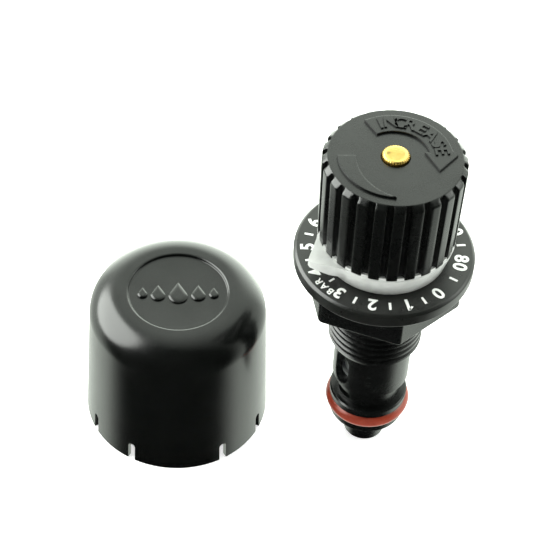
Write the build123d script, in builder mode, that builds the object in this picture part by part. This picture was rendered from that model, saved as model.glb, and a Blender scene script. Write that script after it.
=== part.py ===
from build123d import *
import os
from math import cos, radians, sin

# Adjustable pressure-regulating module for an irrigation valve, standing on its nose, with its
# press-on protective cap standing beside it. Millimetres. The origin is on the module's axis at
# the foot of the nose, +Z is up and the cap's axis lies on -X.

# --- driving dimensions ---------------------------------------------------------------------

# heights along the module's axis
nose_top = 8.6
lower_flange_top = 11.2
groove_top = 15.4
upper_flange_top = 17.4
barrel_bottom = 23.6
thread_bottom = 37.6
thread_top = 55.1
hex_bottom = 56.9
hex_top = 65.6
dial_top = 69.9
knob_bottom = 76.3
knob_top = 101.4
stem_top = 102.4

# nose fitting and its windows
nose_radius = 5.32
flange_radius = 10.2
lower_flange_radius = 9.8
groove_radius = 7.0
o_ring_section = 4.0
neck_radius = 8.4
neck_bore_radius = 5.5
inlet_radius = 3.2
seat_pocket_radius = 4.5
seat_bottom = 12.0
seat_top = 15.0
window_width = 4.8
window_height = 2.0
window_middle = 19.4
spigot_length = 2.4

# housing
barrel_radius = 9.95
bore_radius = 7.9
port_height = 30.2
port_length = 10.4
port_width = 5.2
port_direction = -137.0
thread_radius = 12.0
thread_pitch = 2.0
thread_depth = 0.75
hex_corner_direction = -131.0
hex_across_flats = 36.0
key_across_flats = 16.0
key_bottom = 45.0
bush_seat_depth = 2.0

# dial, pointer and knob
dial_radius = 22.5
dial_edge = 0.7
dial_screw_count = 3
dial_screw_circle = 12.6
pointer_ring_foot_radius = 15.5
pointer_ring_top_radius = 17.0
pointer_ring_bore = 13.4
pointer_tip_radius = 22.0
pointer_half_width = 6.6
pointer_thickness = 2.4
pointer_direction = -142.0
knob_bottom_radius = 17.0
knob_top_radius = 17.46
knob_bore_radius = 13.0
knob_hub_radius = 6.0
groove_count = 24
groove_width = 1.5
groove_floor = 16.0
groove_phase = -87.5

# adjusting stem, nut and spring
stem_radius = 3.0
screw_radius = 3.5
screw_bottom = 46.0
running_gap = 0.05
nut_bottom = 52.5
nut_height = 5.5
wire_radius = 0.9
coil_radius = 6.0
coil_turns = 5

# piston and poppet
piston_foot = 27.0
piston_crown = 35.6
piston_floor = 39.4
piston_top = 45.0
foot_radius = 4.5
land_top = 31.3
land_radius = 7.1
seal_groove_radius = 5.8
seal_section = 2.0
cup_radius = 7.1
rod_radius = 1.5
poppet_travel = 1.2

# cap
cap_distance = 51.5
cap_rim_radius = 24.35
cap_height = 43.45
cap_shoulder = 8.0
cap_wall = 1.45
cap_draft = 1.3
emblem_radius = 12.85
emblem_depth = 0.8
slot_width = 2.0
slot_height = 6.0
slot_front = -79.6
slot_angles = (30, 63, 117, 150, 210, 243, 297, 330)

os.makedirs("parts", exist_ok=True)


def save(piece, name):
    """Label a finished piece and write it as its own STEP file."""
    piece.part.label = name
    export_step(piece.part, f"parts/{name}.step")


def on_circle(radius, angle):
    """Point in the XY plane at a radius and an angle in degrees."""
    return (radius * cos(radians(angle)), radius * sin(radians(angle)))


# --- housing: hexagon, threaded shank and barrel in one moulding --------------------------------

with BuildPart() as housing:
    with BuildSketch(Plane.XY.offset(barrel_bottom)):
        Circle(barrel_radius)
    extrude(amount=thread_bottom - barrel_bottom)
    chamfer(housing.faces().sort_by(Axis.Z)[0].edges(), 0.5)
    with BuildSketch(Plane.XY.offset(thread_bottom)):
        Circle(thread_radius)
    extrude(amount=hex_bottom - thread_bottom)
    # thread, cut as parallel rings of the thread's own profile
    thread_turns = int((thread_top - thread_bottom) / thread_pitch)
    with BuildSketch(Plane.XZ):
        for turn in range(thread_turns):
            root_z = thread_top - (turn + 0.5) * thread_pitch
            with BuildLine():
                Polyline(
                    (thread_radius + 0.2, root_z + 0.36 * thread_pitch),
                    (thread_radius - thread_depth, root_z + 0.2),
                    (thread_radius - thread_depth, root_z - 0.2),
                    (thread_radius + 0.2, root_z - 0.36 * thread_pitch),
                    close=True,
                )
            make_face()
    revolve(axis=Axis.Z, mode=Mode.SUBTRACT)
    with BuildSketch(Plane.XY.offset(hex_bottom)):
        RegularPolygon(hex_across_flats / 2, 6, major_radius=False, rotation=hex_corner_direction)
    extrude(amount=hex_top - hex_bottom)
    chamfer(housing.edges().filter_by(Plane.XY).group_by(Axis.Z)[-1], 0.5)
    # bore for the piston, hexagonal way for the nut, seat for the bush
    with BuildSketch(Plane.XY.offset(barrel_bottom)):
        Circle(bore_radius)
    extrude(amount=key_bottom - barrel_bottom, mode=Mode.SUBTRACT)
    with BuildSketch(Plane.XY.offset(key_bottom)):
        RegularPolygon(key_across_flats / 2, 6, major_radius=False, rotation=hex_corner_direction)
    extrude(amount=hex_top - key_bottom, mode=Mode.SUBTRACT)
    with BuildSketch(Plane.XY.offset(hex_top - bush_seat_depth)):
        Circle(10.25)
    extrude(amount=bush_seat_depth, mode=Mode.SUBTRACT)
    # sensing ports, upright slots right through the barrel
    port_plane = Plane(
        origin=(0, 0, port_height),
        x_dir=(0, 0, 1),
        z_dir=(*on_circle(1, port_direction), 0),
    )
    with BuildSketch(port_plane):
        SlotOverall(port_length, port_width)
    extrude(amount=barrel_radius + 1, both=True, mode=Mode.SUBTRACT)
    # pilot holes for the dial screws
    with BuildSketch(Plane.XY.offset(hex_top)):
        with PolarLocations(dial_screw_circle, dial_screw_count, start_angle=hex_corner_direction):
            Circle(0.9)
    extrude(amount=-6, mode=Mode.SUBTRACT)
save(housing, "housing")

# --- nose fitting: nose, gland, windowed neck and the spigot that enters the barrel -----------------

spigot_top = barrel_bottom + spigot_length
with BuildPart() as nose_fitting:
    with BuildSketch(Plane.XZ):
        with BuildLine():
            Polyline(
                (inlet_radius, 0),
                (nose_radius - 0.25, 0),
                (nose_radius, 0.25),
                (nose_radius, nose_top),
                (lower_flange_radius - 0.6, nose_top),
                (lower_flange_radius, nose_top + 0.6),
                (lower_flange_radius, lower_flange_top),
                (groove_radius, lower_flange_top),
                (groove_radius, groove_top),
                (flange_radius, groove_top),
                (flange_radius, upper_flange_top - 0.4),
                (flange_radius - 0.4, upper_flange_top),
                (neck_radius, upper_flange_top),
                (neck_radius, barrel_bottom),
                (bore_radius, barrel_bottom),
                (bore_radius, spigot_top),
                (neck_bore_radius, spigot_top),
                (neck_bore_radius, seat_top),
                (seat_pocket_radius, seat_top),
                (seat_pocket_radius, seat_bottom),
                (inlet_radius, seat_bottom),
                close=True,
            )
        make_face()
    revolve(axis=Axis.Z)
    across = Plane(
        origin=(0, 0, window_middle),
        x_dir=(0, 0, 1),
        z_dir=(*on_circle(1, port_direction), 0),
    )
    with BuildSketch(across):
        RectangleRounded(window_height, window_width, 0.8)
    extrude(amount=neck_radius + 1, both=True, mode=Mode.SUBTRACT)
save(nose_fitting, "nose_fitting")

with BuildPart() as nose_o_ring:
    with BuildSketch(Plane.XZ):
        with Locations((groove_radius + o_ring_section / 2, (lower_flange_top + groove_top) / 2)):
            Circle(o_ring_section / 2)
    revolve(axis=Axis.Z)
save(nose_o_ring, "nose_o_ring")

with BuildPart() as seat_insert:
    with BuildSketch(Plane.XY.offset(seat_bottom)):
        Circle(seat_pocket_radius)
        Circle(2.5, mode=Mode.SUBTRACT)
    extrude(amount=seat_top - seat_bottom)
    chamfer(seat_insert.faces().sort_by(Axis.Z)[-1].edges().sort_by(SortBy.RADIUS)[0], 0.6)
save(seat_insert, "seat_insert")

screen_bottom = 0.4
screen_thickness = 0.8
with BuildPart() as inlet_screen:
    with BuildSketch(Plane.XY.offset(screen_bottom)):
        Circle(inlet_radius)
        Circle(0.35, mode=Mode.SUBTRACT)
        for ring_radius, holes in ((1.15, 6), (2.25, 12)):
            with PolarLocations(ring_radius, holes):
                Circle(0.35, mode=Mode.SUBTRACT)
    extrude(amount=screen_thickness)
save(inlet_screen, "inlet_screen")

with BuildPart() as piston_stop:
    with BuildSketch(Plane.XY.offset(spigot_top)):
        Circle(bore_radius)
        Circle(foot_radius - 0.7, mode=Mode.SUBTRACT)
        with PolarLocations(6.2, 6, start_angle=port_direction + 30):
            Circle(1.1, mode=Mode.SUBTRACT)
    extrude(amount=piston_foot - 0.1 - spigot_top)
save(piston_stop, "piston_stop")

# --- dial plate, its screws and the stem's bush -------------------------------------------------------

bush_radius = 5.5
with BuildPart() as dial_plate:
    with BuildSketch(Plane.XY.offset(hex_top)):
        Circle(dial_radius)
        Circle(bush_radius, mode=Mode.SUBTRACT)
    extrude(amount=dial_top - hex_top)
    outer_edges = dial_plate.edges().filter_by(GeomType.CIRCLE).sort_by(SortBy.RADIUS)[-2:]
    chamfer(outer_edges, dial_edge)
    with Locations(Plane.XY.offset(dial_top)):
        with PolarLocations(dial_screw_circle, dial_screw_count, start_angle=hex_corner_direction):
            CounterSinkHole(1.1, 1.9, counter_sink_angle=90)
save(dial_plate, "dial_plate")

with BuildPart() as dial_screws:
    with PolarLocations(dial_screw_circle, dial_screw_count, start_angle=hex_corner_direction):
        with Locations((0, 0, dial_top - 0.1)):
            Cone(0.9, 1.75, 0.85, align=(Align.CENTER, Align.CENTER, Align.MAX))
            Cylinder(0.9, 9.0, align=(Align.CENTER, Align.CENTER, Align.MAX))
    with BuildSketch(Plane.XY.offset(dial_top - 0.1)):
        with PolarLocations(dial_screw_circle, dial_screw_count, start_angle=hex_corner_direction):
            Rectangle(1.6, 0.45)
            Rectangle(0.45, 1.6)
    extrude(amount=-0.5, mode=Mode.SUBTRACT)
save(dial_screws, "dial_screws")

bush_top = dial_top - 0.3
with BuildPart() as stem_bush:
    with BuildSketch(Plane.XY.offset(hex_top - bush_seat_depth)):
        Circle(10.2)
    extrude(amount=bush_seat_depth)
    with BuildSketch(Plane.XY.offset(hex_top)):
        Circle(bush_radius)
    extrude(amount=bush_top - hex_top)
    with BuildSketch(Plane.XY.offset(hex_top - bush_seat_depth)):
        Circle(stem_radius + running_gap)
    extrude(amount=bush_top - hex_top + bush_seat_depth, mode=Mode.SUBTRACT)
save(stem_bush, "stem_bush")

# --- adjusting stem: knurled end, shaft, thrust collar and lead screw ------------------------------------

collar_top = 63.15
clip_bottom = bush_top + 0.1
clip_thickness = 0.6
with BuildPart() as adjusting_stem:
    with BuildSketch(Plane.XZ):
        with BuildLine():
            Polyline(
                (0, screw_bottom),
                (screw_radius - 0.5, screw_bottom),
                (screw_radius, screw_bottom + 0.5),
                (screw_radius, collar_top - 1.4),
                (4.9, collar_top - 1.4),
                (4.9, collar_top),
                (stem_radius, collar_top),
                (stem_radius, 66.0),
                (1.85, 66.0),
                (1.85, 67.3),
                (stem_radius, 67.3),
                (stem_radius, clip_bottom),
                (2.55, clip_bottom),
                (2.55, clip_bottom + clip_thickness),
                (stem_radius, clip_bottom + clip_thickness),
                (stem_radius, stem_top - 0.35),
                (stem_radius - 0.35, stem_top),
                (0, stem_top),
                close=True,
            )
        make_face()
    revolve(axis=Axis.Z)
    # knurled end
    with BuildSketch(Plane.XY.offset(knob_top - 1.5)):
        with PolarLocations(stem_radius, 30):
            Rectangle(0.5, 0.3)
    extrude(amount=stem_top - 0.35 - knob_top + 1.5)
save(adjusting_stem, "adjusting_stem")

with BuildPart() as stem_o_ring:
    with BuildSketch(Plane.XZ):
        with Locations((2.43, 66.65)):
            Circle(0.58)
    revolve(axis=Axis.Z)
save(stem_o_ring, "stem_o_ring")

with BuildPart() as thrust_washer:
    with BuildSketch(Plane.XY.offset(collar_top)):
        Circle(4.9)
        Circle(stem_radius, mode=Mode.SUBTRACT)
    extrude(amount=0.35)
save(thrust_washer, "thrust_washer")

with BuildPart() as stem_clip:
    with BuildSketch(Plane.XY.offset(clip_bottom)):
        Circle(4.9)
        Circle(2.55, mode=Mode.SUBTRACT)
        with Locations((3.6, 0)):
            Rectangle(3.4, 3.6, mode=Mode.SUBTRACT)
    extrude(amount=clip_thickness)
save(stem_clip, "stem_clip")

# --- knob and pointer ring ---------------------------------------------------------------------------------

hub_bottom = dial_top + 1.1
knob_roof = knob_top - 4.6
with BuildPart() as knob:
    with BuildSketch(Plane.XZ):
        with BuildLine():
            Polyline(
                (0, knob_bottom),
                (knob_bottom_radius, knob_bottom),
                (knob_top_radius, knob_top - 1.1),
                (knob_top_radius - 1.3, knob_top),
                (0, knob_top),
                close=True,
            )
        make_face()
    revolve(axis=Axis.Z)
    with BuildSketch(Plane.XY.offset(knob_bottom)):
        with PolarLocations(groove_floor + 2, groove_count, start_angle=groove_phase):
            SlotOverall(4.0, groove_width)
    extrude(amount=knob_top - knob_bottom, mode=Mode.SUBTRACT)
    with BuildSketch(Plane.XY.offset(knob_bottom)):
        Circle(knob_bore_radius)
    extrude(amount=knob_roof - knob_bottom, mode=Mode.SUBTRACT)
    with BuildSketch(Plane.XY.offset(hub_bottom)):
        Circle(knob_hub_radius)
    extrude(amount=knob_roof - hub_bottom)
    with BuildSketch(Plane.XY.offset((knob_bottom + knob_roof) / 2)):
        with PolarLocations(0, 6):
            with Locations(((knob_hub_radius + knob_bore_radius) / 2, 0)):
                Rectangle(knob_bore_radius - knob_hub_radius + 0.6, 1.4)
    extrude(amount=(knob_roof - knob_bottom) / 2)
    with BuildSketch(Plane.XY.offset(hub_bottom)):
        Circle(stem_radius)
    extrude(amount=knob_top - hub_bottom, mode=Mode.SUBTRACT)
    # pocket that the knurled end stands in
    with BuildSketch(Plane.XY.offset(knob_top - 1.5)):
        Circle(stem_radius + 0.3)
    extrude(amount=1.5, mode=Mode.SUBTRACT)
save(knob, "knob")

ring_bottom = dial_top + 0.1
with BuildPart() as pointer_ring:
    with BuildSketch(Plane.XZ):
        with BuildLine():
            Polyline(
                (pointer_ring_bore, ring_bottom),
                (pointer_ring_foot_radius, ring_bottom),
                (pointer_ring_top_radius, knob_bottom - 0.8),
                (pointer_ring_top_radius, knob_bottom),
                (pointer_ring_bore, knob_bottom),
                close=True,
            )
        make_face()
    revolve(axis=Axis.Z)
    with BuildSketch(Plane.XY.offset(knob_bottom - 1.2)):
        Circle(pointer_ring_bore)
        Circle(knob_bore_radius - 1.4, mode=Mode.SUBTRACT)
    extrude(amount=1.2)
    with BuildSketch(Plane.XY.offset(knob_bottom)):
        Circle(knob_bore_radius)
        Circle(knob_bore_radius - 1.4, mode=Mode.SUBTRACT)
    extrude(amount=2.6)
    # two pointers opposite each other, one for each half of the dial
    with BuildSketch(Plane.XY.offset(knob_bottom - pointer_thickness)):
        with PolarLocations(0, 2, start_angle=pointer_direction):
            Polygon(
                (pointer_tip_radius, 0),
                (pointer_ring_bore + 0.9, pointer_half_width),
                (pointer_ring_bore + 0.9, -pointer_half_width),
                align=None,
            )
        Circle(pointer_ring_bore + 0.4, mode=Mode.SUBTRACT)
    extrude(amount=pointer_thickness)
save(pointer_ring, "pointer_ring")

# --- spring nut, its threaded insert and the range spring ---------------------------------------------------

insert_radius = 5.0
with BuildPart() as spring_nut:
    with BuildSketch(Plane.XY.offset(nut_bottom)):
        RegularPolygon(key_across_flats / 2 - 0.15, 6, major_radius=False, rotation=hex_corner_direction)
        Circle(insert_radius, mode=Mode.SUBTRACT)
    extrude(amount=nut_height)
save(spring_nut, "spring_nut")

with BuildPart() as nut_insert:
    with BuildSketch(Plane.XY.offset(nut_bottom)):
        Circle(insert_radius)
        Circle(screw_radius + running_gap, mode=Mode.SUBTRACT)
    extrude(amount=nut_height)
save(nut_insert, "nut_insert")

coil_height = nut_bottom - piston_floor - 2 * wire_radius
coil_pitch = coil_height / coil_turns
with BuildPart() as range_spring:
    with BuildLine(Plane.XY.offset(piston_floor + wire_radius)) as coil:
        Helix(pitch=coil_pitch, height=coil_height, radius=coil_radius)
    with BuildSketch(Plane(origin=coil.line @ 0, z_dir=coil.line % 0)):
        Circle(wire_radius)
    sweep()
save(range_spring, "range_spring")

# --- piston, poppet and their seals ---------------------------------------------------------------------------

piston_radius = bore_radius - running_gap
seal_height = piston_crown + 1.8
with BuildPart() as piston:
    with BuildSketch(Plane.XZ):
        with BuildLine():
            Polyline(
                (0, piston_foot),
                (land_radius, piston_foot),
                (land_radius, land_top),
                (foot_radius, land_top),
                (foot_radius, piston_crown),
                (piston_radius, piston_crown),
                (piston_radius, seal_height - 1.1),
                (seal_groove_radius, seal_height - 1.1),
                (seal_groove_radius, seal_height + 1.1),
                (piston_radius, seal_height + 1.1),
                (piston_radius, piston_top),
                (cup_radius, piston_top),
                (cup_radius, piston_floor),
                (0, piston_floor),
                close=True,
            )
        make_face()
    revolve(axis=Axis.Z)
    with BuildSketch(Plane.XY.offset(piston_foot)):
        Circle(rod_radius)
    extrude(amount=3.0, mode=Mode.SUBTRACT)
save(piston, "piston")

with BuildPart() as piston_o_ring:
    with BuildSketch(Plane.XZ):
        with Locations((seal_groove_radius + 0.03 + seal_section / 2, seal_height)):
            Circle(seal_section / 2)
    revolve(axis=Axis.Z)
save(piston_o_ring, "piston_o_ring")

head_top = seat_bottom - poppet_travel - 0.9
with BuildPart() as poppet:
    with BuildSketch(Plane.XY.offset(head_top - 2.6)):
        Circle(2.75)
    extrude(amount=2.6)
    chamfer(poppet.faces().sort_by(Axis.Z)[0].edges(), 0.8)
    with BuildSketch(Plane.XY.offset(head_top)):
        Circle(rod_radius)
    extrude(amount=piston_foot + 3.0 - head_top)
save(poppet, "poppet")

with BuildPart() as poppet_seal:
    with BuildSketch(Plane.XY.offset(head_top)):
        Circle(2.9)
        Circle(rod_radius, mode=Mode.SUBTRACT)
    extrude(amount=0.8)
save(poppet_seal, "poppet_seal")

# --- cap: drafted shell with a wide shoulder, an emblem recess and slots at its rim -------------------------

cap_plane = Plane(origin=(-cap_distance, 0, 0), x_dir=(1, 0, 0), z_dir=(0, -1, 0))
cap_axis = Axis((-cap_distance, 0, 0), (0, 0, 1))
cap_wall_top_radius = cap_rim_radius - cap_draft
snap_bead_height = 1.6
with BuildPart() as cap:
    with BuildSketch(cap_plane):
        with BuildLine():
            Polyline(
                (0, cap_height),
                (0, 0),
                (cap_rim_radius, 0),
                (cap_wall_top_radius, cap_height - cap_shoulder),
            )
            RadiusArc(
                (cap_wall_top_radius, cap_height - cap_shoulder),
                (cap_wall_top_radius - cap_shoulder, cap_height),
                -cap_shoulder,
            )
            Line((cap_wall_top_radius - cap_shoulder, cap_height), (0, cap_height))
        make_face()
    revolve(axis=cap_axis)
    inner_shoulder = cap_shoulder - cap_wall
    inner_top = cap_height - cap_wall - emblem_depth
    with BuildSketch(cap_plane):
        with BuildLine():
            Polyline(
                (0, inner_top),
                (0, 0),
                (cap_rim_radius - cap_wall, 0),
                (cap_wall_top_radius - cap_wall, inner_top - inner_shoulder),
            )
            RadiusArc(
                (cap_wall_top_radius - cap_wall, inner_top - inner_shoulder),
                (cap_wall_top_radius - cap_wall - inner_shoulder, inner_top),
                -inner_shoulder,
            )
            Line((cap_wall_top_radius - cap_wall - inner_shoulder, inner_top), (0, inner_top))
        make_face()
    revolve(axis=cap_axis, mode=Mode.SUBTRACT)
    # bead inside the rim that snaps under the dial plate
    with BuildSketch(cap_plane):
        with Locations((cap_rim_radius - cap_wall, snap_bead_height)):
            Circle(0.55)
    revolve(axis=cap_axis)
    with BuildSketch(Plane(origin=(-cap_distance, 0, cap_height - emblem_depth))):
        Circle(emblem_radius)
    extrude(amount=emblem_depth, mode=Mode.SUBTRACT)
    # stop ribs that meet the dial plate when the cap is on
    with BuildSketch(Plane(origin=(-cap_distance, 0, 7.5))):
        with PolarLocations(cap_rim_radius - cap_wall - 0.6, 8, start_angle=slot_front):
            Rectangle(1.5, 1.2)
    extrude(amount=16)
    for slot_angle in slot_angles:
        outward = on_circle(1, slot_front + slot_angle)
        slot_plane = Plane(origin=(-cap_distance, 0, 0), x_dir=(0, 0, 1), z_dir=(*outward, 0))
        with BuildSketch(slot_plane):
            with Locations(((slot_height - slot_width / 2) / 2, 0)):
                Rectangle(slot_height - slot_width / 2, slot_width)
            with Locations((slot_height - slot_width / 2, 0)):
                Circle(slot_width / 2)
        extrude(amount=cap_rim_radius + 1, mode=Mode.SUBTRACT)
save(cap, "cap")
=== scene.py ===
import bmesh
import bpy
from math import atan2, cos, pi, radians, sin, sqrt
from mathutils import Matrix, Vector


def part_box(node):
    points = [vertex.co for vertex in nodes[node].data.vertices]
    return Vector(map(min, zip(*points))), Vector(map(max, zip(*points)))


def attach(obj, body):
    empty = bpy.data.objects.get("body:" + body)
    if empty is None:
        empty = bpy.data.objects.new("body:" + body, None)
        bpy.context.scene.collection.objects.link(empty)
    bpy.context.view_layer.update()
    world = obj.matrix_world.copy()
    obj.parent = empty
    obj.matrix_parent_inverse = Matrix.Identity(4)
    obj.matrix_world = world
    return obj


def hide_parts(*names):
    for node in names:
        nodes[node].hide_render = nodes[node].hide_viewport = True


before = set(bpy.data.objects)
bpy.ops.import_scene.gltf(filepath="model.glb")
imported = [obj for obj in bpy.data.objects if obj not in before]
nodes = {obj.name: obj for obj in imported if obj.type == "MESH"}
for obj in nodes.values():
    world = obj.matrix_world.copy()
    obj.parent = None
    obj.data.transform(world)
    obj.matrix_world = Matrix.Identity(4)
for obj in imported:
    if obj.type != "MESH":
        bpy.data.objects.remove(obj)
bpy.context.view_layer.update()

# --- nose fitting --------------------------------------------------------------------------------
# The black nylon foot of the module: a narrow inlet nose, a two-flanged gland for the seal and a
# neck with two windows. It is moulded in one and pressed into the barrel. Sizes are millimetres
# until a piece is finished, when its mesh is brought to metres.


class Shade:
    """A socket in a material; arithmetic on it adds the Math nodes that it needs."""

    def __init__(self, socket):
        self.socket = socket

    def node(self, kind, inputs, output=0, stops=None, **settings):
        made = self.socket.id_data.nodes.new(kind)
        for setting, value in settings.items():
            setattr(made, setting, value)
        if stops:
            ramp = made.color_ramp
            while len(ramp.elements) < len(stops):
                ramp.elements.new(0.5)
            for element, (place, colour) in zip(ramp.elements, stops):
                element.position = place
                element.color = colour
        for place, value in inputs.items():
            if isinstance(value, Shade):
                made.id_data.links.new(value.socket, made.inputs[place])
            else:
                made.inputs[place].default_value = value
        return Shade(made.outputs[output])

    def arithmetic(self, operation, first, second):
        return self.node("ShaderNodeMath", {0: first, 1: second}, operation=operation)

    def __add__(self, other):
        return self.arithmetic("ADD", self, other)

    def __radd__(self, other):
        return self.arithmetic("ADD", other, self)

    def __sub__(self, other):
        return self.arithmetic("SUBTRACT", self, other)

    def __rsub__(self, other):
        return self.arithmetic("SUBTRACT", other, self)

    def __mul__(self, other):
        return self.arithmetic("MULTIPLY", self, other)

    def __rmul__(self, other):
        return self.arithmetic("MULTIPLY", other, self)

    def noise(self, scale, detail=3.0, roughness=0.5):
        return self.node("ShaderNodeTexNoise", {
            "Vector": self, "Scale": scale, "Detail": detail, "Roughness": roughness})

    def between(self, low, high):
        """Stretch a value so that low becomes 0 and high becomes 1, clamped."""
        return self.node("ShaderNodeMapRange", {"Value": self, "From Min": low, "From Max": high})

    def blend(self, first, second):
        """A colour that goes from first to second as this value goes from 0 to 1."""
        return self.node("ShaderNodeMix", {"Factor": self, 6: first, 7: second},
                         output=2, data_type="RGBA")


def new_finish(name, **constants):
    """Start a finish: its material, its shader node and the place on the object in millimetres."""
    finish = bpy.data.materials.new(name)
    finish.use_nodes = True
    shader = finish.node_tree.nodes["Principled BSDF"]
    for socket, value in constants.items():
        shader.inputs[socket.replace("_", " ")].default_value = value
    coordinates = finish.node_tree.nodes.new("ShaderNodeTexCoord")
    metres = Shade(coordinates.outputs["Object"])
    place = metres.node("ShaderNodeMapping", {"Vector": metres, "Scale": (1000, 1000, 1000)})
    return finish, shader, place


def paint(shader, colour=None, roughness=None, height=None, depth=0.02, metallic=None):
    """Link what varies over a surface; depth is the bump's height in millimetres."""
    links = shader.id_data.links
    if colour:
        links.new(colour.socket, shader.inputs["Base Color"])
    if roughness:
        links.new(roughness.socket, shader.inputs["Roughness"])
    if metallic:
        links.new(metallic.socket, shader.inputs["Metallic"])
    if height:
        bump = height.node("ShaderNodeBump", {"Height": height, "Distance": depth / 1000})
        links.new(bump.socket, shader.inputs["Normal"])


def moulded(name, colour, roughness, grain=9.0, relief=0.012, gloss=0.5):
    """Moulded plastic: slow flow mottling, fine spark grain and a few rubbed, smoother spots."""
    finish, shader, place = new_finish(name, IOR=1.5, Specular_IOR_Level=gloss)
    flow = place.noise(0.12, 4.0, 0.6)
    spark = place.noise(grain, 3.0, 0.6)
    rubbed = place.noise(0.5, 5.0, 0.7).between(0.55, 0.75)
    dark = (colour[0] * 0.8, colour[1] * 0.8, colour[2] * 0.8, 1)
    light = (colour[0] * 1.2, colour[1] * 1.2, colour[2] * 1.2, 1)
    rough = roughness + (flow - 0.5) * 0.12 + (spark - 0.5) * 0.1 - rubbed * 0.04
    paint(shader, flow.between(0.3, 0.7).blend(dark, light), rough, spark, relief)
    return finish


def outline_spun(mesh, outline, steps=96, centre=(0, 0)):
    """Turn a closed or open outline of (radius, height) points a full circle round an axis."""
    corners = [mesh.verts.new((centre[0] + radius, centre[1], height)) for radius, height in outline]
    sides = [mesh.edges.new(pair) for pair in zip(corners, corners[1:])]
    bmesh.ops.spin(mesh, geom=corners + sides, cent=(*centre, 0), axis=(0, 0, 1),
                   angle=2 * pi, steps=steps, use_merge=True)
    bmesh.ops.remove_doubles(mesh, verts=mesh.verts, dist=0.0005)
    bmesh.ops.recalc_face_normals(mesh, faces=mesh.faces)


def soften(mesh, width, segments=2, sharper_than=25):
    """Round every edge that is sharper than an angle in degrees."""
    sharp = [edge for edge in mesh.edges
             if len(edge.link_faces) == 2 and edge.calc_face_angle(0) > radians(sharper_than)]
    bmesh.ops.bevel(mesh, geom=sharp, offset=width, offset_type="OFFSET", affect="EDGES",
                    segments=segments, profile=0.5, material=-1, clamp_overlap=True)


def made_by(operation, kind):
    """The corners, edges or faces among what an operator gives back."""
    return [item for item in operation["geom"] if isinstance(item, kind)]


def flat_sheet(mesh, points):
    """Fill a flat outline of (x, y, z) points with one face."""
    corners = [mesh.verts.new(point) for point in points]
    sides = [mesh.edges.new(pair) for pair in zip(corners, [*corners[1:], corners[0]])]
    bmesh.ops.contextual_create(mesh, geom=sides)


def finished(name, mesh, finish, body, bevel=0.0, angle=35):
    """Bring a mesh to metres, make it an object, shade it, and ride it on its body."""
    bmesh.ops.transform(mesh, matrix=Matrix.Scale(0.001, 4), verts=mesh.verts)
    data = bpy.data.meshes.new(name)
    mesh.to_mesh(data)
    mesh.free()
    data.polygons.foreach_set("use_smooth", [True] * len(data.polygons))
    data.set_sharp_from_angle(angle=radians(angle))
    data.materials.append(finish)
    piece = bpy.data.objects.new(name, data)
    bpy.context.scene.collection.objects.link(piece)
    if bevel:
        edges = piece.modifiers.new("edges", "BEVEL")
        edges.width = bevel / 1000
        edges.segments = 2
        edges.limit_method = "ANGLE"
        edges.angle_limit = radians(angle)
    even = piece.modifiers.new("even", "WEIGHTED_NORMAL")
    even.keep_sharp = True
    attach(piece, body)
    return piece


def around(angle, radius=1.0, height=0.0):
    """Point at an angle in degrees round the module's axis."""
    return Vector((radius * cos(radians(angle)), radius * sin(radians(angle)), height))


def cut_away(mesh, cutters):
    """Take the cutters' shapes out of a mesh."""
    parts = []
    for part in (mesh, *cutters):
        data = bpy.data.meshes.new("part")
        part.to_mesh(data)
        parts.append(bpy.data.objects.new("part", data))
        bpy.context.scene.collection.objects.link(parts[-1])
    for cutter in parts[1:]:
        cut = parts[0].modifiers.new("cut", "BOOLEAN")
        cut.operation = "DIFFERENCE"
        cut.solver = "EXACT"
        cut.object = cutter
    graph = bpy.context.evaluated_depsgraph_get()
    mesh.clear()
    mesh.from_mesh(parts[0].evaluated_get(graph).to_mesh())
    for part in parts:
        bpy.data.objects.remove(part)
    for cutter in cutters:
        cutter.free()


def slot_cutter(direction, height, tall, wide, reach, centre=(0, 0)):
    """A round-ended bar that lies outwards at an angle, to cut a slot."""
    bar = bmesh.new()
    radius = min(tall, wide) / 2
    bmesh.ops.create_circle(bar, cap_ends=True, segments=24, radius=radius)
    bmesh.ops.rotate(bar, verts=bar.verts, cent=(0, 0, 0), matrix=Matrix.Rotation(pi / 24, 3, "Z"))
    for corner in bar.verts:
        corner.co.x += (tall / 2 - radius) * (1 if corner.co.x > 0 else -1)
        corner.co.y += (wide / 2 - radius) * (1 if corner.co.y > 0 else -1)
    far_end = bmesh.ops.extrude_face_region(bar, geom=list(bar.faces))
    bmesh.ops.translate(bar, vec=(0, 0, reach), verts=made_by(far_end, bmesh.types.BMVert))
    bmesh.ops.recalc_face_normals(bar, faces=bar.faces)
    outwards = Matrix.Rotation(radians(direction), 4, "Z") @ Matrix.Rotation(pi / 2, 4, "Y")
    bmesh.ops.transform(bar, matrix=Matrix.Translation((*centre, height)) @ outwards,
                        verts=bar.verts)
    return bar


port_direction = -137.0
hex_corner = -131.0
nose_radius = 5.32
flange_radius = 10.2
neck_radius = 8.4
gland_floor = 11.2
gland_roof = 15.4
barrel_foot = 23.6
body_black = moulded("body_black", (0.0032, 0.0036, 0.0035), 0.25, relief=0.004)
nose = bmesh.new()
outline_spun(nose, (
    (3.2, 0), (nose_radius - 0.2, 0), (nose_radius, 0.2), (nose_radius, 8.6), (9.2, 8.6), (9.8, 9.2),
    (9.8, gland_floor), (7.0, gland_floor), (7.0, gland_roof), (flange_radius, gland_roof),
    (flange_radius, 17.0), (flange_radius - 0.4, 17.4), (neck_radius, 17.4),
    (neck_radius, barrel_foot), (7.9, barrel_foot), (7.9, 26.0), (5.5, 26.0), (5.5, 15.0),
    (4.5, 15.0), (4.5, 12.0), (3.2, 12.0), (3.2, 0)), steps=120)
cut_away(nose, [slot_cutter(port_direction + 180 * side, 19.4, 2.0, 4.8, 12)
                for side in range(2)])
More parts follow.
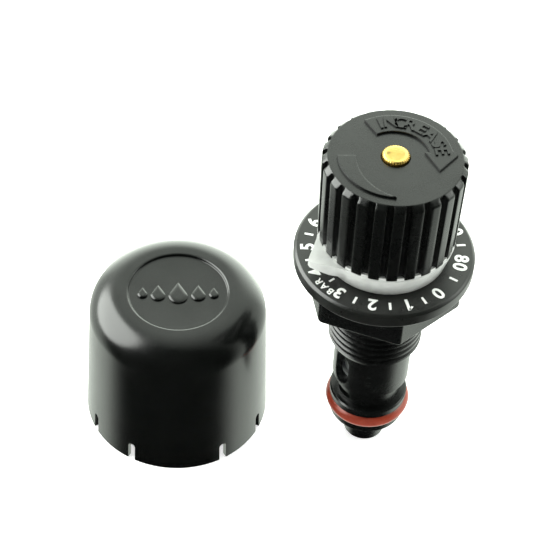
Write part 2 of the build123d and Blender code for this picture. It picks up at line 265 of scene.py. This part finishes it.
nose_piece = finished("nose_moulding", nose, body_black, "body", bevel=0.12)
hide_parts("nose_fitting")

# --- nose seal -----------------------------------------------------------------------------------
# The orange-red silicone ring in the gland. It is moulded in two halves, so a fine flash line
# runs round its inner and outer edge.

seal_section = 2.0
seal_height = (gland_floor + gland_roof) / 2
seal_orange, shader, place = new_finish("seal_orange", Specular_IOR_Level=0.5)
bloom = place.noise(0.4, 4.0, 0.6)
specks = place.noise(6.0, 2.0, 0.5)
paint(shader, bloom.between(0.3, 0.7).blend((0.24, 0.027, 0.011, 1), (0.33, 0.042, 0.018, 1)),
      0.24 + bloom * 0.14, specks, 0.01)
seal = bmesh.new()
bmesh.ops.create_circle(seal, segments=28, radius=seal_section)
bmesh.ops.rotate(seal, verts=seal.verts, cent=(0, 0, 0), matrix=Matrix.Rotation(pi / 2, 3, "X"))
outermost = max(seal.verts, key=lambda corner: corner.co.x)
outermost.co.x += 0.06
bmesh.ops.translate(seal, verts=seal.verts, vec=(7.02 + seal_section, 0, seal_height))
bmesh.ops.spin(seal, geom=seal.verts[:] + seal.edges[:], cent=(0, 0, 0), axis=(0, 0, 1),
               angle=2 * pi, steps=120, use_merge=True)
bmesh.ops.remove_doubles(seal, verts=seal.verts, dist=0.0005)
bmesh.ops.recalc_face_normals(seal, faces=seal.faces)
seal_piece = finished("nose_seal", seal, seal_orange, "body", angle=60)
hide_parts("nose_o_ring")

# --- seat and screen -----------------------------------------------------------------------------
# A turned brass seat in the nose's throat and a punched stainless screen across its mouth. Both
# keep the shapes of the frame.


def turned(name, colour, roughness, pitch=0.12):
    """Lathe-turned metal: fine rings round the module's axis and a little uneven tarnish."""
    finish, shader, place = new_finish(name, Metallic=1.0)
    tarnish = place.noise(0.6, 4.0, 0.6)
    rings = place.node("ShaderNodeTexWave", {
        "Vector": place, "Scale": 1 / pitch / 2, "Distortion": 0.6, "Detail": 2.0},
        output=1, wave_type="RINGS", rings_direction="Z")
    dark = (colour[0] * 0.9, colour[1] * 0.86, colour[2] * 0.7, 1)
    paint(shader, tarnish.between(0.35, 0.65).blend(dark, (*colour, 1)),
          roughness + (tarnish - 0.5) * 0.2 + rings * 0.06, rings, 0.004)
    return finish


def dress(node, finish):
    """Give a frame node its finish."""
    nodes[node].data.materials.clear()
    nodes[node].data.materials.append(finish)


brass = turned("turned_brass", (0.74, 0.53, 0.17), 0.34)
steel = turned("bright_steel", (0.62, 0.63, 0.64), 0.3)
dress("seat_insert", brass)
dress("inlet_screen", steel)

# --- poppet --------------------------------------------------------------------------------------
# The brass rod and head that throttle the inlet, and the nitrile washer that meets the seat.

nitrile = moulded("black_nitrile", (0.014, 0.014, 0.014), 0.55, grain=5.0, relief=0.02)
dress("poppet", brass)
dress("poppet_seal", nitrile)

# --- piston, its stop and its seal ---------------------------------------------------------------
# A cup of natural acetal that slides in the barrel and carries the spring. Its foot shows
# through the port. It rests on a perforated stop washer, and a nitrile ring seals it. Both
# are coloured dark grey as painted shade, standing for the dim inside of the port.

acetal = moulded("natural_acetal", (0.62, 0.6, 0.54), 0.42, grain=7.0)
# Painted shade: natural acetal darkened to dark grey so the piston seen through the port looks shaded.
port_shade_acetal = moulded("acetal_painted_port_shade", (0.12, 0.125, 0.125), 0.4, grain=7.0)
dress("piston", port_shade_acetal)
dress("piston_stop", port_shade_acetal)
dress("piston_o_ring", nitrile)

# --- range spring and nut ------------------------------------------------------------------------
# Coiled spring steel between the piston's cup and a hexagonal acetal nut, which climbs the
# stem's screw on its brass insert. All of it is inside the housing.

spring_steel, shader, place = new_finish("spring_steel", Metallic=1.0)
drawn = place.noise(3.0, 4.0, 0.6)
paint(shader, drawn.between(0.3, 0.7).blend((0.3, 0.31, 0.33, 1), (0.5, 0.51, 0.53, 1)),
      0.25 + drawn * 0.2, drawn, 0.006)
dress("range_spring", spring_steel)
dress("spring_nut", acetal)
dress("nut_insert", brass)

# --- housing -------------------------------------------------------------------------------------
# One black glass-filled nylon moulding: a barrel with two upright ports, a 24 mm shank with a
# 2 mm thread, and a hexagon for a 36 mm spanner. The thread is a true helix.


def join(mesh, part):
    """Add a part to a mesh."""
    part_data = bpy.data.meshes.new("part")
    part.to_mesh(part_data)
    part.free()
    mesh.from_mesh(part_data)


barrel_radius = 9.95
thread_radius = 12.0
thread_root = 11.25
thread_pitch = 2.0
thread_foot = 37.6
thread_head = 55.1
hex_foot = 56.9
hex_head = 65.6
hex_flats = 36.0
bore_radius = 7.9
port_height = 30.2

housing = bmesh.new()
outline_spun(housing, (
    (bore_radius, barrel_foot), (barrel_radius - 0.5, barrel_foot),
    (barrel_radius, barrel_foot + 0.5), (barrel_radius, thread_foot + 0.2),
    (bore_radius, thread_foot + 0.2), (bore_radius, barrel_foot)), steps=144)
cut_away(housing, [slot_cutter(port_direction + 180 * side, port_height, 10.4, 5.2, 12)
                   for side in range(2)])
soften(housing, 0.12, sharper_than=40)

thread = bmesh.new()
thread_flanks = (
    (0.0, thread_root), (0.2, thread_root), (0.57, thread_radius - 0.06), (0.64, thread_radius),
    (1.36, thread_radius), (1.43, thread_radius - 0.06), (1.8, thread_root), (2.0, thread_root))
flank_corners = [thread.verts.new((radius, 0, thread_foot - 1.5 * thread_pitch + rise))
                 for rise, radius in thread_flanks]
flank_sides = [thread.edges.new(pair) for pair in zip(flank_corners, flank_corners[1:])]
turns = 12
steps_per_turn = 72
bmesh.ops.spin(thread, geom=flank_corners + flank_sides, cent=(0, 0, 0), axis=(0, 0, 1),
               dvec=(0, 0, thread_pitch / steps_per_turn), angle=2 * pi * turns,
               steps=turns * steps_per_turn)
bmesh.ops.remove_doubles(thread, verts=thread.verts, dist=0.01)
for plane_height, keep_above in ((thread_foot, True), (thread_head, False)):
    bmesh.ops.bisect_plane(thread, geom=thread.verts[:] + thread.edges[:] + thread.faces[:],
                           dist=0.001, plane_co=(0, 0, plane_height), plane_no=(0, 0, 1),
                           clear_inner=keep_above, clear_outer=not keep_above)
for corner in thread.verts:
    # the lead-in at the foot and the run-out under the collar
    lead_in = thread_root - 0.35 + (corner.co.z - thread_foot) * 0.9
    run_out = thread_root + 0.1 + max(0, (thread_head - corner.co.z)) * 1.2
    reach = corner.co.xy.length
    allowed = min(reach, lead_in, max(run_out, thread_root))
    corner.co.x *= allowed / reach
    corner.co.y *= allowed / reach
foot_ring = [edge for edge in thread.edges if edge.is_boundary
             and max(corner.co.z for corner in edge.verts) < thread_foot + 0.01]
inner_foot = bmesh.ops.extrude_edge_only(thread, edges=foot_ring)
for corner in made_by(inner_foot, bmesh.types.BMVert):
    corner.co.xy = corner.co.xy.normalized() * (bore_radius + 0.3)
head_ring = [edge for edge in thread.edges if edge.is_boundary
             and min(corner.co.z for corner in edge.verts) > thread_head - 0.01]
inner_head = bmesh.ops.extrude_edge_only(thread, edges=head_ring)
for corner in made_by(inner_head, bmesh.types.BMVert):
    corner.co.xy = corner.co.xy.normalized() * (bore_radius + 0.3)
bmesh.ops.recalc_face_normals(thread, faces=thread.faces)
join(housing, thread)

shank_top = bmesh.new()
outline_spun(shank_top, (
    (bore_radius + 0.3, thread_head - 0.3), (thread_radius - 0.25, thread_head - 0.05),
    (thread_radius, thread_head + 0.2), (thread_radius, hex_foot + 0.2),
    (bore_radius + 0.3, hex_foot + 0.2), (bore_radius + 0.3, thread_head - 0.3)), steps=144)
hexagon = bmesh.new()
bmesh.ops.create_cone(hexagon, cap_ends=True, segments=6, radius1=hex_flats / sqrt(3),
                      radius2=hex_flats / sqrt(3), depth=hex_head - hex_foot)
bmesh.ops.rotate(hexagon, verts=hexagon.verts, cent=(0, 0, 0),
                 matrix=Matrix.Rotation(radians(hex_corner + 30), 3, "Z"))
bmesh.ops.translate(hexagon, verts=hexagon.verts, vec=(0, 0, (hex_head + hex_foot) / 2))
bmesh.ops.bevel(hexagon, geom=[edge for edge in hexagon.edges
                               if abs(edge.verts[0].co.z - edge.verts[1].co.z) > 1],
                offset=0.9, offset_type="OFFSET", affect="EDGES", segments=5, profile=0.5,
                material=-1)
soften(hexagon, 0.4, segments=3)
join(housing, shank_top)
join(housing, hexagon)
housing_piece = finished("housing_moulding", housing, body_black, "body")
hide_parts("housing")

# --- stem bearing --------------------------------------------------------------------------------
# The flanged acetal bush that carries the stem, with the washer and the clip that hold the stem
# endways and the small ring that seals it. They are under the dial and the knob.

dress("stem_bush", acetal)
dress("thrust_washer", acetal)
dress("stem_clip", steel)
dress("stem_o_ring", nitrile)

# --- adjusting stem ------------------------------------------------------------------------------
# Turned brass. Its knurled end stands proud of the knob's face; the rest is inside. The knurl's
# teeth are cut straight, and the end face is domed a little from the lathe.

stem_top = 102.4
knob_top = 101.4
stem_radius = 3.12
knurl_teeth = 30
stem = bmesh.new()
tooth_rows = (
    (knob_top - 1.45, 1.0, 0.0), (stem_top - 0.4, 1.0, 0.0), (stem_top - 0.2, 0.985, 0.35),
    (stem_top - 0.06, 0.95, 0.8), (stem_top - 0.01, 0.91, 1.0))
tooth = [(-0.5, 0.0), (-0.3, 0.4), (-0.12, 1.0), (0.12, 1.0), (0.3, 0.4), (0.5, 0.0)]
tooth_pitch = 360 / knurl_teeth
tooth_depth = 0.24
row_corners = []
for across, rise in tooth:
    row_corners.append(stem.verts.new(around(
        across * tooth_pitch, stem_radius - tooth_depth * (1 - rise), tooth_rows[0][0])))
row_edges = [stem.edges.new(pair) for pair in zip(row_corners, row_corners[1:])]
for height, spread, fade in tooth_rows[1:]:
    grown = bmesh.ops.extrude_edge_only(stem, edges=row_edges)
    row_edges = made_by(grown, bmesh.types.BMEdge)
    for corner in made_by(grown, bmesh.types.BMVert):
        smooth_radius = (stem_radius - tooth_depth / 2) * spread
        reach = corner.co.xy.length
        wanted = reach * spread * (1 - fade) + smooth_radius * fade
        corner.co.xy = corner.co.xy * (wanted / reach)
        corner.co.z = height
for radius, height in ((2.2, stem_top), (0.0, stem_top)):
    grown = bmesh.ops.extrude_edge_only(stem, edges=row_edges)
    row_edges = made_by(grown, bmesh.types.BMEdge)
    for corner in made_by(grown, bmesh.types.BMVert):
        corner.co.xy = corner.co.xy.normalized() * radius
        corner.co.z = height
bmesh.ops.spin(stem, geom=stem.verts[:] + stem.edges[:] + stem.faces[:], cent=(0, 0, 0),
               axis=(0, 0, 1), angle=2 * pi * (knurl_teeth - 1) / knurl_teeth,
               steps=knurl_teeth - 1, use_duplicate=True)
bmesh.ops.remove_doubles(stem, verts=stem.verts, dist=0.003)
bmesh.ops.recalc_face_normals(stem, faces=stem.faces)
finished("stem_end", stem, brass, "knob", angle=50)
dress("adjusting_stem", brass)

# --- dial plate ----------------------------------------------------------------------------------
# A black moulded disc with a narrow chamfer, screwed down on the hexagon by three countersunk
# screws that the knob hides.

dial_radius = 22.5
dial_top = 69.9
dial_black = moulded("dial_black", (0.008, 0.0085, 0.0078), 0.3, grain=12.0, relief=0.004)
dial = bmesh.new()
outline_spun(dial, (
    (5.6, hex_head), (dial_radius - 0.7, hex_head), (dial_radius, hex_head + 0.7),
    (dial_radius, dial_top - 0.7), (dial_radius - 0.7, dial_top), (5.6, dial_top),
    (5.6, hex_head)), steps=180)
soften(dial, 0.22)
dial_piece = finished("dial_disc", dial, dial_black, "body")
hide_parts("dial_plate")
dress("dial_screws", steel)

# --- dial marks ----------------------------------------------------------------------------------
# The scale, pad-printed in white and a hair proud of the dial: bar on one half and PSI on the
# other, clockwise, with a tick between the numbers and the unit's name inside each scale.

mark_circle = 19.1
bar_zero = -40.7
degrees_per_bar = 26.0
psi_zero = bar_zero + 180.0
degrees_per_psi = degrees_per_bar * 0.0689476
print_white, shader, place = new_finish("print_white", Specular_IOR_Level=0.4)
ink = place.noise(2.5, 4.0, 0.7)
paint(shader, ink.between(0.25, 0.6).blend((0.72, 0.72, 0.71, 1), (0.86, 0.86, 0.85, 1)),
      0.5 + ink * 0.1, ink, 0.006)
mark_height = 0.06


def printed_text(text, size, angle, radius, level, thickness=mark_height, facing=0.0, weight=0.0):
    """Letters that stand outwards round the axis, made a mesh in millimetres."""
    curve = bpy.data.curves.new("text", "FONT")
    curve.body = text
    curve.size = size
    curve.align_x = "CENTER"
    curve.align_y = "CENTER"
    curve.extrude = thickness / 2
    curve.offset = weight
    curve.resolution_u = 6
    letters = bpy.data.objects.new("text", curve)
    bpy.context.scene.collection.objects.link(letters)
    bpy.context.view_layer.update()
    graph = bpy.context.evaluated_depsgraph_get()
    data = bpy.data.meshes.new_from_object(letters.evaluated_get(graph))
    bpy.data.objects.remove(letters)
    width = max(corner.co.x for corner in data.vertices) + min(
        corner.co.x for corner in data.vertices)
    height = max(corner.co.y for corner in data.vertices) + min(
        corner.co.y for corner in data.vertices)
    data.transform(Matrix.Translation((-width / 2, -height / 2, 0)))
    data.transform(Matrix.Translation(around(angle, radius, level + thickness / 2))
                   @ Matrix.Rotation(radians(angle - 90 + facing), 4, "Z"))
    return data


def printed_bar(mesh, length, width, angle, radius, level, thickness=mark_height):
    """A straight mark that points at the axis."""
    bar = bmesh.ops.create_cube(mesh, size=1)["verts"]
    bmesh.ops.scale(mesh, verts=bar, vec=(length, width, thickness))
    bmesh.ops.transform(mesh, verts=bar, matrix=Matrix.Translation(
        around(angle, radius, level + thickness / 2)) @ Matrix.Rotation(radians(angle), 4, "Z"))


marks = bmesh.new()


def printed_number(number, angle):
    """A bold number across the mark circle, with a flag on the font's plain one."""
    digits = str(number)
    for position, digit in enumerate(digits):
        turn = angle - (position - (len(digits) - 1) / 2) * 8.4
        marks.from_mesh(printed_text(digit, 4.8, turn, mark_circle, dial_top, weight=0.13))
        if digit == "1":
            flag = bmesh.ops.create_cube(marks, size=1)["verts"]
            bmesh.ops.scale(marks, verts=flag, vec=(1.3, 0.5, mark_height))
            bmesh.ops.transform(marks, verts=flag, matrix=Matrix.Translation(
                around(turn + 1.4, mark_circle + 1.15, dial_top + mark_height / 2))
                @ Matrix.Rotation(radians(turn - 50), 4, "Z"))


for half_bar in (1, 3, 5, 9, 11):
    printed_bar(marks, 2.2, 0.6, bar_zero - half_bar * degrees_per_bar / 2, mark_circle, dial_top)
for bar in range(7):
    printed_number(bar, bar_zero - bar * degrees_per_bar)
for psi in range(0, 91, 10):
    angle = psi_zero - psi * degrees_per_psi
    if psi % 20:
        printed_bar(marks, 2.2, 0.6, angle, mark_circle, dial_top)
    else:
        printed_number(psi, angle)
for letter, aside in zip("BAR", (-6.0, 0.0, 6.0)):
    marks.from_mesh(printed_text(letter, 2.6, -130.6 - aside, 20.2, dial_top, weight=0.05))
printed_bar(marks, 1.6, 0.5, bar_zero - 3.5 * degrees_per_bar, 17.3, dial_top)
for letter, aside in zip("PSI", (-5.6, 0.0, 4.8)):
    marks.from_mesh(printed_text(letter, 2.6, 49.4 - aside, 20.2, dial_top, weight=0.05))
finished("dial_marks", marks, print_white, "body")

# --- pointer ring --------------------------------------------------------------------------------
# White acetal: a ring that widens upwards to meet the knob, with two pointers opposite each
# other, one for each scale. It is pressed into the knob and turns with it just over the dial.

ring_foot = dial_top + 0.1
knob_foot = 76.3
pointer_direction = -142.0
pointer_tip = 22.0
pointer_root = 14.4
first_groove = -87.5
ring_white = moulded("white_acetal", (0.5, 0.505, 0.495), 0.34, grain=8.0, relief=0.006)
ring = bmesh.new()
outline_spun(ring, (
    (13.4, ring_foot), (15.4, ring_foot), (15.6, ring_foot + 0.25), (16.2, ring_foot + 2.6),
    (16.8, ring_foot + 4.9), (17.0, knob_foot - 0.35), (16.8, knob_foot), (13.4, knob_foot),
    (13.4, ring_foot)), steps=144)
for side in range(2):
    wedge = bmesh.new()
    half = ((pointer_tip, 0.5), (20.7, 1.8), (18.6, 3.7), (16.6, 5.8), (15.4, 7.2), (pointer_root, 8.4))
    outline = [*half, *[(x, -y) for x, y in reversed(half)]]
    flat_sheet(wedge, [(x, y, knob_foot) for x, y in outline])
    lower = bmesh.ops.extrude_face_region(wedge, geom=list(wedge.faces))
    for corner in made_by(lower, bmesh.types.BMVert):
        inwards = (pointer_tip - corner.co.x) / (pointer_tip - pointer_root)
        corner.co.z = knob_foot - 2.0 - 4.3 * inwards ** 1.6
        cone_radius = 15.45 + (corner.co.z - ring_foot) * 0.25
        if corner.co.x < 17.0 and corner.co.xy.length > cone_radius:
            corner.co.xy *= cone_radius / corner.co.xy.length
    bmesh.ops.recalc_face_normals(wedge, faces=wedge.faces)
    soften(wedge, 0.16, sharper_than=30)
    bmesh.ops.rotate(wedge, verts=wedge.verts, cent=(0, 0, 0),
                     matrix=Matrix.Rotation(radians(pointer_direction + 180 * side), 3, "Z"))
    join(ring, wedge)
for tooth_turn in range(24):
    key = bmesh.ops.create_cube(ring, size=1)["verts"]
    bmesh.ops.scale(ring, verts=key, vec=(0.75, 1.9, 0.9))
    bmesh.ops.transform(ring, verts=key, matrix=Matrix.Rotation(
        radians(first_groove + 15 * tooth_turn), 4, "Z")
        @ Matrix.Translation((16.42, 0, knob_foot + 0.35)))
ring_piece = finished("pointer_collar", ring, ring_white, "knob")
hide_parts("pointer_ring")

# --- knob ----------------------------------------------------------------------------------------
# Black moulded plastic, a little wider at the top, with 24 flat-topped ridges whose upper ends
# are chamfered. It is hollow, with a hub that is pressed on the stem.

ridge_count = 24
groove_floor = 16.0
knob_black = moulded("knob_black", (0.0028, 0.0032, 0.003), 0.28, grain=8.0, relief=0.006)
sector = 360 / ridge_count
flute = ((0.0, 0.0), (1.5, 0.03), (2.2, 0.18), (2.6, 0.6), (3.0, 0.9), (3.6, 1.0), (5.5, 1.0))
flute_profile = [*flute, *[(sector - angle, rise) for angle, rise in reversed(flute)]]
knob_rows = (
    (knob_foot, 16.75), (knob_foot + 0.25, 17.0), (84.0, 17.16), (92.0, 17.31), (99.7, 17.45),
    (100.1, 17.4), (100.45, 17.18), (100.95, 16.64), (101.0, 16.58), (101.25, 16.3),
    (101.36, 16.12), (101.4, 15.95))
knob = bmesh.new()


def fluted(angle, rise, crest, height):
    floor = min(groove_floor if height < 100.97 else 16.14, crest)
    return around(first_groove + angle, floor + (crest - floor) * rise, height)


row_corners = [knob.verts.new(fluted(angle, rise, knob_rows[0][1], knob_foot))
               for angle, rise in flute_profile]
row_edges = [knob.edges.new(pair) for pair in zip(row_corners, row_corners[1:])]


def next_row(mesh, edges, place_of):
    """Extrude a row of edges and put each new corner, in order round the axis, at place_of."""
    grown = bmesh.ops.extrude_edge_only(mesh, edges=edges)
    corners = made_by(grown, bmesh.types.BMVert)
    corners.sort(key=lambda corner: (
        atan2(corner.co.y, corner.co.x) - radians(first_groove) + 0.001) % (2 * pi))
    for index, corner in enumerate(corners):
        corner.co = place_of(index)
    return made_by(grown, bmesh.types.BMEdge)


edges = row_edges
for height, crest in knob_rows[1:]:
    edges = next_row(knob, edges, lambda index: fluted(*flute_profile[index], crest, height))
for radius, height in ((9.0, knob_top), (3.6, knob_top), (3.4, knob_top - 0.2),
                       (3.4, knob_top - 1.5), (3.0, knob_top - 1.5), (3.0, 71.0), (5.8, 71.0),
                       (6.0, 71.3), (6.0, 96.8), (13.0, 96.8), (13.0, knob_foot)):
    edges = next_row(knob, edges, lambda index: around(
        first_groove + flute_profile[index][0], radius, height))
edges = next_row(knob, edges, lambda index: fluted(
    *flute_profile[index], knob_rows[0][1], knob_foot))
bmesh.ops.spin(knob, geom=knob.verts[:] + knob.edges[:] + knob.faces[:], cent=(0, 0, 0),
               axis=(0, 0, 1), angle=2 * pi * (ridge_count - 1) / ridge_count,
               steps=ridge_count - 1, use_duplicate=True)
bmesh.ops.remove_doubles(knob, verts=knob.verts, dist=0.002)
bmesh.ops.recalc_face_normals(knob, faces=knob.faces)
knob_piece = finished("knob_shell", knob, knob_black, "knob", angle=40)
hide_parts("knob")

# --- knob's face ---------------------------------------------------------------------------------
# Moulded in relief on the knob's face: a curved arrow that says which way increases the
# pressure, its letters standing on it, and the arrow's long tapered tail on the far side.

relief_height = 0.6
band_inner = 8.2
band_outer = 13.7
face = bmesh.new()


def raised_sheet(mesh, inner, outer, level, height):
    """Raise a sheet between two rows of points, with slightly rounded upper edges."""
    sheet = bmesh.new()
    flat_sheet(sheet, [(point.x, point.y, level) for point in [*inner, *reversed(outer)]])
    lifted = bmesh.ops.extrude_face_region(sheet, geom=list(sheet.faces))
    bmesh.ops.translate(sheet, vec=(0, 0, height), verts=made_by(lifted, bmesh.types.BMVert))
    bmesh.ops.recalc_face_normals(sheet, faces=sheet.faces)
    rim = [edge for edge in sheet.edges
           if min(corner.co.z for corner in edge.verts) > level + height / 2
           and edge.calc_face_angle(0) > radians(30)]
    bmesh.ops.bevel(sheet, geom=rim, offset=height * 0.35, offset_type="OFFSET", affect="EDGES",
                    segments=2, profile=0.5, material=-1)
    join(mesh, sheet)


band_angles = [129.5 + (17.0 - 129.5) * step / 40 for step in range(41)]
raised_sheet(face, [*[around(angle, band_inner) for angle in band_angles], around(19.5, 7.0),
                    around(-16.3, 11.2)],
             [*[around(angle, band_outer) for angle in band_angles], around(11.2, 14.8)],
             knob_top, relief_height)
tail_angles = [-169.5 + 86.5 * step / 40 for step in range(41)]
tail_inner = [around(angle, 9.45 + 4.35 * (step / 40) ** 1.7)
              for step, angle in enumerate(tail_angles)]
raised_sheet(face, tail_inner, [around(angle, 13.9) for angle in tail_angles], knob_top,
             relief_height)
word_angles = (116.3, 103.0, 90.7, 77.0, 61.7, 46.8, 29.7, 16.2)
for letter, angle in zip("INCREASE", word_angles):
    face.from_mesh(printed_text(letter, 4.9, angle, 11.1, knob_top + relief_height,
                                thickness=0.35, weight=0.08))
finished("knob_arrow", face, knob_black, "knob", angle=30)

# --- cap -----------------------------------------------------------------------------------------
# The loose cap, a drafted black shell with a wide shoulder, a round recess in its crown and
# eight slots that let its rim snap over the dial. It stands on its rim beside the module.

cap_low, cap_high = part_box("cap")
cap_centre = ((cap_low.x + cap_high.x) * 500, 0.0)
rim_radius = 24.35
wall_top_radius = 23.05
cap_height = 43.45
shoulder = 8.0
cap_wall = 1.45
recess_radius = 12.85
recess_depth = 0.8
slot_front = -79.6
slot_turns = (30, 63, 117, 150, 210, 243, 297, 330)
cap_black = moulded("cap_black", (0.0028, 0.0032, 0.003), 0.23, grain=10.0, relief=0.002)


def arc_points(centre_radius, centre_height, radius, start, end, count):
    return [(centre_radius + radius * cos(radians(start + (end - start) * step / count)),
             centre_height + radius * sin(radians(start + (end - start) * step / count)))
            for step in range(count + 1)]


inner_top = cap_height - cap_wall - recess_depth
inner_shoulder = shoulder - cap_wall
cap = bmesh.new()
wall_rows = [(rim_radius - (rim_radius - wall_top_radius) * height / (cap_height - shoulder), height)
             for height in (0.0, 0.3, 3.0, 7.0, 14.0, 21.0, 28.0)]
outline_spun(cap, (
    (0.0, cap_height - recess_depth),
    (6.0, cap_height - recess_depth),
    (recess_radius - 0.3, cap_height - recess_depth),
    (recess_radius, cap_height - recess_depth + 0.25),
    (recess_radius, cap_height - 0.5),
    (recess_radius + 0.07, cap_height - 0.28),
    (recess_radius + 0.22, cap_height - 0.12),
    (recess_radius + 0.45, cap_height - 0.03),
    (recess_radius + 0.7, cap_height),
    *reversed(arc_points(wall_top_radius - shoulder, cap_height - shoulder, shoulder, 0, 90, 18)),
    *reversed(wall_rows),
    (rim_radius - cap_wall, 0.0),
    (rim_radius - cap_wall - 0.3, 7.0),
    *arc_points(wall_top_radius - shoulder, inner_top - inner_shoulder, inner_shoulder, 0, 90, 12),
    (0.0, inner_top)), steps=240, centre=cap_centre)
cut_away(cap, [slot_cutter(slot_front + turn, 2.5, 7.0, 2.0, rim_radius + 3, centre=cap_centre)
               for turn in slot_turns])
cap_piece = finished("cap_shell", cap, cap_black, "cap", bevel=0.15, angle=40)
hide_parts("cap")

# --- cap's fittings ------------------------------------------------------------------------------
# Inside the cap, eight short ribs that stop on the dial. In the crown's recess stands a row of
# five water drops, moulded in relief.

inside = bmesh.new()
for rib in range(8):
    bar = bmesh.ops.create_cube(inside, size=1)["verts"]
    bmesh.ops.scale(inside, verts=bar, vec=(1.5, 1.2, 16.0))
    bmesh.ops.transform(inside, verts=bar, matrix=Matrix.Translation((*cap_centre, 15.5))
                        @ Matrix.Rotation(radians(slot_front + 45 * rib), 4, "Z")
                        @ Matrix.Translation((22.15, 0, 0)))
soften(inside, 0.3)
finished("cap_ribs", inside, cap_black, "cap")
motif = bmesh.new()
recess_level = cap_height - recess_depth


def water_drop(mesh, across, along, size, lean):
    """A drop, round below and pointed above, raised in the recess."""
    drop = bmesh.new()
    bmesh.ops.create_circle(drop, cap_ends=True, segments=40, radius=size)
    for corner in drop.verts:
        if corner.co.y > 0:
            climb = corner.co.y / size
            corner.co.x *= (1 - climb) ** 0.75 if climb < 1 else 0
            corner.co.y = size * climb * 1.9
    lifted = bmesh.ops.extrude_face_region(drop, geom=list(drop.faces))
    bmesh.ops.translate(drop, vec=(0, 0, 0.35), verts=made_by(lifted, bmesh.types.BMVert))
    crown = made_by(lifted, bmesh.types.BMFace)
    for share, rise in ((0.88, 0.16), (0.8, 0.1), (0.66, 0.05)):
        lifted = bmesh.ops.extrude_face_region(drop, geom=crown)
        bmesh.ops.delete(drop, geom=crown, context="FACES_ONLY")
        crown = made_by(lifted, bmesh.types.BMFace)
        for corner in crown[0].verts:
            corner.co = (corner.co.x * share, corner.co.y * share, corner.co.z + rise)
    bmesh.ops.remove_doubles(drop, verts=drop.verts, dist=0.01)
    bmesh.ops.recalc_face_normals(drop, faces=drop.faces)
    bmesh.ops.transform(drop, verts=drop.verts, matrix=Matrix.Translation(
        (cap_centre[0], cap_centre[1], recess_level))
        @ Matrix.Rotation(radians(slot_front + 90), 4, "Z")
        @ Matrix.Translation((across, along, 0)) @ Matrix.Rotation(radians(lean), 4, "Z"))
    join(mesh, drop)


for across, size in ((-9.2, 1.3), (-5.2, 1.9), (0.0, 2.5), (5.2, 1.9), (9.2, 1.3)):
    water_drop(motif, across, -0.45 * size, size, 0)
finished("cap_drops", motif, cap_black, "cap", bevel=0.14)

# --- floor, light and camera ---------------------------------------------------------------------
# A plain white floor, a pale surround that is dark on the camera's side, and five soft lights.

floor_mesh = bmesh.new()
bmesh.ops.create_grid(floor_mesh, x_segments=2, y_segments=2, size=3.0)
floor_data = bpy.data.meshes.new("floor")
floor_mesh.to_mesh(floor_data)
floor_mesh.free()
floor = bpy.data.objects.new("floor", floor_data)
bpy.context.scene.collection.objects.link(floor)
floor_white, shader, place = new_finish("floor_white", Roughness=0.9, Specular_IOR_Level=0.0)
shader.inputs["Base Color"].default_value = (0.9, 0.9, 0.9, 1)
shader.inputs["Emission Color"].default_value = (1, 1, 1, 1)
shader.inputs["Emission Strength"].default_value = 0.65
floor_data.materials.append(floor_white)
floor.visible_glossy = False

surround = bpy.data.worlds.new("surround")
surround.use_nodes = True
bpy.context.scene.world = surround
background = surround.node_tree.nodes["Background"]
direction = Shade(surround.node_tree.nodes.new("ShaderNodeTexCoord").outputs["Generated"])
ahead = direction.node("ShaderNodeSeparateXYZ", {"Vector": direction}, output=1)
upward = direction.node("ShaderNodeSeparateXYZ", {"Vector": direction}, output=2)
zenith = upward.between(0.1, 0.6)
facing_away = ahead.between(-0.28 - 0.1 * zenith, 0.02 + 0.5 * zenith)
behind = ahead.between(0.72, 0.92)
brightness = facing_away * (1.6 + 4.5 * behind)
surround.node_tree.links.new(brightness.socket, background.inputs["Strength"])
background.inputs["Color"].default_value = (0.92, 1.0, 0.9, 1)


def soft_light(name, place, size, power, reflected=True, diffuse=True):
    """An area light that faces the middle of the object."""
    light_data = bpy.data.lights.new(name, "AREA")
    light_data.shape = "DISK"
    light_data.size = size
    light_data.energy = power
    light_data.color = (0.96, 1.0, 0.95)
    light = bpy.data.objects.new(name, light_data)
    light.location = place
    light.rotation_euler = (Vector(place) - Vector((-0.02, 0, 0.05))).to_track_quat("Z", "Y").to_euler()
    light.visible_glossy = reflected
    light.visible_diffuse = diffuse
    bpy.context.scene.collection.objects.link(light)


soft_light("left_light", (-0.8, 0.02, 0.5), 1.2, 32, diffuse=False)
soft_light("side_light", (-0.7, -0.12, 0.56), 0.6, 6, reflected=False)
soft_light("right_light", (0.8, 0.2, 0.5), 0.5, 2.2)
soft_light("top_light", (0.0, 0.2, 0.9), 0.7, 9, reflected=False)
soft_light("front_light", (0.1, -0.8, 0.5), 0.6, 2.2, reflected=False)

heading = 5.672
look_down = 47.703
camera_roll = 3.728
camera_data = bpy.data.cameras.new("camera")
camera_data.sensor_width = 36.0
camera_data.lens = 130.8
camera_data.clip_start = 0.01
camera = bpy.data.objects.new("camera", camera_data)
camera.location = (0.00794, -0.3421, 0.4317)
camera.rotation_euler = (Matrix.Rotation(radians(heading), 3, "Z")
                         @ Matrix.Rotation(radians(90 - look_down), 3, "X")
                         @ Matrix.Rotation(radians(camera_roll), 3, "Z")).to_euler()
bpy.context.scene.collection.objects.link(camera)
bpy.context.scene.camera = camera
bpy.context.scene.view_settings.view_transform = "Standard"
